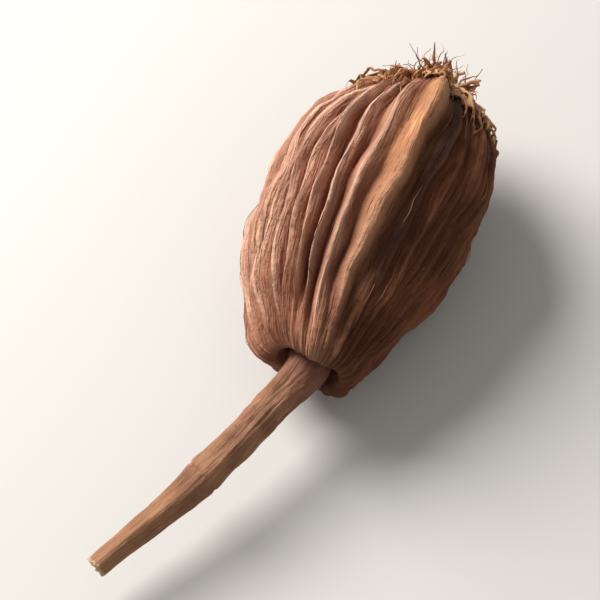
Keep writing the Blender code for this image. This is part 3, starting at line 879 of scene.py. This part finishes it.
def mixed(first, second, share):
    """A colour between two, by share."""
    tree = tree_of((first, second, share))
    node = tree.nodes.new("ShaderNodeMix")
    node.data_type = "RGBA"
    plug(clamped(share), node.inputs["Factor"])
    sockets = [socket for socket in node.inputs if socket.type == "RGBA"]
    plug(first, sockets[0])
    plug(second, sockets[1])
    return Field(next(socket for socket in node.outputs if socket.type == "RGBA"))


def rgb(colour):
    """A colour as seen on a screen, 0 to 255, made linear."""
    return tuple((((value / 255) + 0.055) / 1.055) ** 2.4 for value in colour) + (1.0,)


def shaded_and_lit(colours, lit_side_share):
    """A colour of the skin, from its calm side in painted shade to its side with more ribs in painted light.
    """
    shaded_side_colour, lit_side_colour = colours
    return mixed(rgb(shaded_side_colour), rgb(lit_side_colour), lit_side_share)


def fibre_grain():
    """Fine fibres that run along a piece: their relief, and the mask of the pale ones."""
    tree, given, result = new_tree(
        "fibre_grain",
        "ShaderNodeTree",
        {"Grain": VECTOR, "Across": FLOAT, "Along": FLOAT},
        {"Relief": FLOAT, "Pale": FLOAT},
    )
    x, y, z = parts(given["Grain"])
    stretched = vector(x * given["Across"], y * given["Across"], z * given["Along"])
    coarse = noise(stretched, 1.0, 5.0)
    fine = noise(stretched, 3.1, 3.0)
    plug(coarse * 0.7 + fine * 0.4, result.inputs["Relief"])
    plug(ease(0.05, 0.55, coarse + fine * 0.4), result.inputs["Pale"])
    return tree


def mottle():
    """Blotches, specks and wide patches in a skin, from its place in metres."""
    tree, given, result = new_tree(
        "mottle",
        "ShaderNodeTree",
        {"Place": VECTOR, "Blotch scale": FLOAT, "Speck scale": FLOAT},
        {"Blotches": FLOAT, "Specks": FLOAT, "Patches": FLOAT},
    )
    blotches = noise(given["Place"], given["Blotch scale"], 3.0)
    specks = noise(given["Place"], given["Speck scale"], 2.0)
    patches = noise(given["Place"], given["Blotch scale"] * 0.5, 2.0)
    plug(ease(-0.35, 0.35, blotches), result.inputs["Blotches"])
    plug(ease(-0.10, 0.35, patches), result.inputs["Patches"])
    plug(ease(0.25, 0.50, specks), result.inputs["Specks"])
    return tree


def used(tree, group, **values):
    """A shader group in a material's tree, with its outputs as fields."""
    node = tree.nodes.new("ShaderNodeGroup")
    node.node_tree = group
    for title, value in values.items():
        plug(value, node.inputs[title])
    return {socket.name: Field(socket) for socket in node.outputs}


def finish_material(material, colour, roughness, height, bump, specular):
    """Joins the fields to the material's own shader."""
    tree = material.node_tree
    shader = tree.nodes["Principled BSDF"]
    plug(colour, shader.inputs["Base Color"])
    plug(roughness, shader.inputs["Roughness"])
    shader.inputs["Specular IOR Level"].default_value = specular
    relief = tree.nodes.new("ShaderNodeBump")
    relief.inputs["Strength"].default_value = 1.0
    relief.inputs["Distance"].default_value = bump
    plug(height, relief.inputs["Height"])
    tree.links.new(relief.outputs[0], shader.inputs["Normal"])
    return material


def new_material(name):
    material = bpy.data.materials.new(name)
    material.use_nodes = True
    return material, material.node_tree


def husk_material(fibre_group, mottle_group):
    material, tree = new_material("husk_skin")
    grain = attribute(tree, "grain", "Vector")
    crest, groove, first = (attribute(tree, name) for name in ("crest", "groove", "first"))
    x, y, along = parts(grain)
    place = Field(tree.nodes.new("ShaderNodeTexCoord").outputs["Object"])
    fibre = used(tree, fibre_group, Grain=grain, Across=24.0, Along=7.0)
    mottled = used(tree, mottle_group, **{"Place": place, "Blotch scale": 260.0, "Speck scale": 1500.0})
    # The share towards the lit side, which is also the side with more ribs: painted light there, painted
    # shade opposite
    lit_side_share = ease(-0.25, 0.35, x * math.cos(LIT_SIDE_TURN) + y * math.sin(LIT_SIDE_TURN))
    pale, dusty = fibre["Pale"], mottled["Patches"]

    # The skin's shaded copy and its lit copy, mixed by side: painted shade and painted light
    dark = mixed(rgb(SKIN_BLOTCH[0]), rgb(SKIN_GROUND[0]), mottled["Blotches"])
    light = mixed(rgb(SKIN_BLOTCH[1]), rgb(SKIN_GROUND[1]), mottled["Blotches"])
    skin = mixed(dark, light, lit_side_share)
    skin = mixed(skin, shaded_and_lit(SKIN_DUST, lit_side_share), dusty * 0.55)
    skin = mixed(skin, shaded_and_lit(SKIN_FIBRE, lit_side_share), pale * 0.65)
    # Pale rib crests: partly a dusty bloom, partly a painted highlight that is stronger on the lit side
    bloom_and_highlight = shaded_and_lit(SKIN_BLOOM_AND_HIGHLIGHT, lit_side_share)
    skin = mixed(skin, bloom_and_highlight, crest * (pale * 0.5 + 0.6) * (lit_side_share * 0.6 + 0.4))
    # Grooves, creases and the first rib's sides darkened: painted shade over partly darker skin
    skin = mixed(skin, shaded_and_lit(SKIN_GROOVE_AND_SHADE, lit_side_share), groove)
    golden = mixed(rgb(GOLD_DULL), rgb(GOLD_BRIGHT), pale * 0.7 + 0.3)
    golden = mixed(golden, rgb(GOLD_BLOTCH), mottled["Blotches"] * 0.45)
    skin = mixed(skin, golden, first * (pale * 0.4 + 0.8) * (ease(0.40, 0.64, along) * 0.55 + 0.45))
    torn = ease(0.865, 0.925, along) * (pale * 0.6 + 0.35)
    skin = mixed(skin, rgb(SKIN_TORN), torn)
    skin = mixed(skin, rgb(SKIN_SPECK), mottled["Specks"] * 0.4)
    roughness = 0.74 + pale * 0.14 - groove * 0.05
    height = fibre["Relief"] + noise(place, 2300.0, 3.0) * 0.32
    return finish_material(material, skin, roughness, height, 0.24 * MM, 0.22)


def stalk_material(fibre_group, mottle_group):
    material, tree = new_material("stalk_bark")
    grain = attribute(tree, "grain", "Vector")
    crest, end = attribute(tree, "crest"), attribute(tree, "end")
    share = parts(grain)[2]
    place = Field(tree.nodes.new("ShaderNodeTexCoord").outputs["Object"])
    fibre = used(tree, fibre_group, Grain=grain, Across=7.0, Along=9.0)
    mottled = used(tree, mottle_group, **{"Place": place, "Blotch scale": 420.0, "Speck scale": 1700.0})
    bark = mixed(rgb(BARK_DARK), rgb(BARK_PALE), mottled["Blotches"] * 0.5 + fibre["Pale"] * 0.6)
    bark = mixed(bark, rgb(BARK_FURROW), ease(0.45, 0.22, crest) * 0.75)
    bark = mixed(bark, rgb(BARK_TIP), ease(0.45, 1.0, share) * 0.4)
    bark = mixed(bark, rgb(BARK_ROOT), ease(0.30, 0.02, share) * 0.8)
    bark = mixed(bark, rgb(BARK_SPECK), mottled["Specks"] * 0.35)
    bark = mixed(bark, rgb(BARK_CUT), end)
    return finish_material(material, bark, 0.66 + fibre["Pale"] * 0.14, fibre["Relief"], 0.09 * MM, 0.40)


def flower_material(fibre_group):
    material, tree = new_material("dried_flower_fibre")
    grain = attribute(tree, "grain", "Vector")
    tone, share = attribute(tree, "tone"), parts(grain)[2]
    fibre = used(tree, fibre_group, Grain=grain, Across=4.0, Along=5.0)
    shade = mixed(rgb(FLOWER_DARK), rgb(FLOWER_PALE), tone * tone * 0.8 + fibre["Pale"] * 0.3)
    shade = mixed(shade, rgb(FLOWER_ROOT), ease(0.35, 0.0, share) * 0.5)
    shade = mixed(shade, rgb(FLOWER_TIP), ease(0.6, 1.0, share) * tone * 0.6)
    return finish_material(material, shade, 0.72, fibre["Relief"], 0.05 * MM, 0.35)


def floor_material():
    material, tree = new_material("pale_floor")
    shader = tree.nodes["Principled BSDF"]
    shader.inputs["Base Color"].default_value = FLOOR_COLOUR
    shader.inputs["Roughness"].default_value = 0.65
    return material


def make_floor():
    mesh = bpy.data.meshes.new("floor")
    half = FLOOR_SIZE / 2
    corners = [(-half, -half, 0), (half, -half, 0), (half, half, 0), (-half, half, 0)]
    mesh.from_pydata(corners, [], [(0, 1, 2, 3)])
    mesh.materials.append(floor_material())
    floor = bpy.data.objects.new("floor", mesh)
    bpy.context.scene.collection.objects.link(floor)


def way_back(azimuth, elevation):
    """From the pod towards a viewer or a light."""
    level = math.cos(elevation)
    return Vector((math.sin(azimuth) * level, -math.cos(azimuth) * level, math.sin(elevation)))


def make_camera():
    """Frames the solids from the side that the photograph shows."""
    data = bpy.data.cameras.new("camera")
    data.lens, data.sensor_width = LENS, SENSOR
    data.clip_start = 0.01
    camera = bpy.data.objects.new("camera", data)
    back = way_back(VIEW_AZIMUTH, VIEW_ELEVATION)
    camera.rotation_euler = back.to_track_quat("Z", "Y").to_euler()
    turned = camera.rotation_euler.to_matrix()
    points = [vertex.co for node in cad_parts.values() for vertex in node.data.vertices]
    middle, widest = Vector(), 0.0
    for axis in turned.transposed()[:]:
        reach = [point.dot(axis) for point in points]
        middle += axis * (max(reach) + min(reach)) / 2
        if axis.dot(back) < 0.5:
            widest = max(widest, max(reach) - min(reach))
    camera.location = middle + back * (widest / FRAME_SHARE * LENS / SENSOR)
    bpy.context.scene.collection.objects.link(camera)
    bpy.context.scene.camera = camera


def soft_light(name, azimuth, elevation, size, power, colour):
    data = bpy.data.lights.new(name, "AREA")
    data.shape = "DISK"
    data.size = size
    data.energy = power
    data.color = colour
    back = way_back(math.radians(azimuth), math.radians(elevation))
    lamp = bpy.data.objects.new(name, data)
    lamp.location = back * LIGHT_DISTANCE
    lamp.rotation_euler = back.to_track_quat("Z", "Y").to_euler()
    bpy.context.scene.collection.objects.link(lamp)


def make_lights():
    """A soft light from behind on the left, a weak one from the right, and dim pale surroundings."""
    soft_light("key", *KEY_LIGHT)
    soft_light("fill", *FILL_LIGHT)
    world = bpy.data.worlds.new("studio")
    world.use_nodes = True
    world.node_tree.nodes["Background"].inputs["Color"].default_value = ROOM_COLOUR
    world.node_tree.nodes["Background"].inputs["Strength"].default_value = ROOM_STRENGTH
    bpy.context.scene.world = world
    bpy.context.scene.view_settings.view_transform = "Standard"


def make_husk(surface, skin):
    outline = [Vector(point) * MM for point in HUSK_OUTLINE_MM]
    sizes = {"Columns": HUSK_COLUMNS, "Rows": HUSK_ROWS}
    grow("husk_skin", husk_tree(surface, skin), sizes, outline, ["husk"])
    return outline


def make_stalk(bark):
    start, first, last, end = stalk_points()
    sizes = {
        "Sides": 90, "Rows": 420, "Start": start, "First pull": first, "Last pull": last, "End": end,
        "Sway": STALK_SWAY, "Radius": STALK_RADIUS, "Root radius": STALK_ROOT_RADIUS,
        "Tip radius": STALK_TIP_RADIUS,
    }
    grow("stalk_bark", stalk_tree(bark), sizes, [(0, 0, 0)], ["stalk"])


def make_flower(fibre):
    """The flower's tube, the strands and scraps of its solid, and finer fibres among them."""
    tube = {"Sides": 140, "Rows": 40, "Start": TUBE_START_X, "Length": TUBE_LENGTH, "Radius": TUBE_RADIUS}
    grow("flower_tube", tube_tree(fibre), tube, [(0, 0, 0)], ["dried_flower"])
    tree = strand_tree(fibre)
    strands = {
        "Count": STRANDS, "Sides": 12, "Rows": 26, "Root": TUBE_START_X + TUBE_LENGTH * STRAND_ROOTS_AT,
        "Roots radius": 1.2 * MM, "Shortest": 2.4 * MM, "Longest": 4.2 * MM,
        "Least lean": math.radians(10), "Most lean": math.radians(66),
        "Least curl": math.radians(-50), "Most curl": math.radians(66),
        "Root radius": 0.30 * MM, "Tip radius": 0.12 * MM, "Breadth": 2.4, "Every": 3.0, "Wave": 0.8 * MM,
        "Ripple": 0.5 * MM, "Offset": 0.0,
    }
    grow("flower_strands", tree, strands, [(0, 0, 0)])
    fibres = {
        **strands, "Count": 170, "Sides": 5, "Rows": 14, "Root radius": 0.085 * MM, "Tip radius": 0.03 * MM,
        "Breadth": 3.0, "Every": 5.0, "Shortest": 1.8 * MM, "Longest": 4.6 * MM, "Wave": 1.4 * MM,
        "Ripple": 1.0 * MM, "Most lean": math.radians(80), "Least curl": math.radians(-90),
        "Most curl": math.radians(150), "Offset": 40.0,
    }
    grow("flower_fibres", tree, fibres, [(0, 0, 0)])
    scraps = {
        **strands, "Count": 17, "Sides": 12, "Rows": 30, "Root": 12.45 * MM, "Roots radius": 2.5 * MM,
        "Shortest": 1.5 * MM, "Longest": 3.6 * MM,
        "Least lean": math.radians(66), "Most lean": math.radians(86),
        "Least curl": math.radians(40), "Most curl": math.radians(100), "Root radius": 0.13 * MM,
        "Tip radius": 0.06 * MM, "Breadth": 5.0, "Every": 1.0, "Ripple": 0.6 * MM, "Offset": 300.0,
    }
    grow("flower_scraps", tree, scraps, [(0, 0, 0)])


def make_loose_skin(surface, fibre, outline):
    """Fibres that have peeled off the ribs, and ribbons that have torn loose around the flower."""
    sizes = {"Count": 120, "Sides": 4, "Rows": 14, "Radius": 0.030 * MM, "Rise": 0.12 * MM}
    grow("loose_fibres", loose_fibre_tree(surface, fibre), sizes, outline)
    sizes = {
        "Count": 120, "Sides": 10, "Rows": 60, "Breadth": 0.007, "Rise": 0.36 * MM, "Thickness": 0.06 * MM,
        "Least reach": 0.07, "Most reach": 0.22,
    }
    grow("torn_rim", torn_rim_tree(surface, fibre), sizes, outline)


def make_pod():
    fibre_group, mottle_group = fibre_grain(), mottle()
    surface = husk_surface()
    fibre = flower_material(fibre_group)
    outline = make_husk(surface, husk_material(fibre_group, mottle_group))
    make_stalk(stalk_material(fibre_group, mottle_group))
    make_flower(fibre)
    make_loose_skin(surface, fibre, outline)


make_camera()
make_lights()
make_floor()
make_pod()
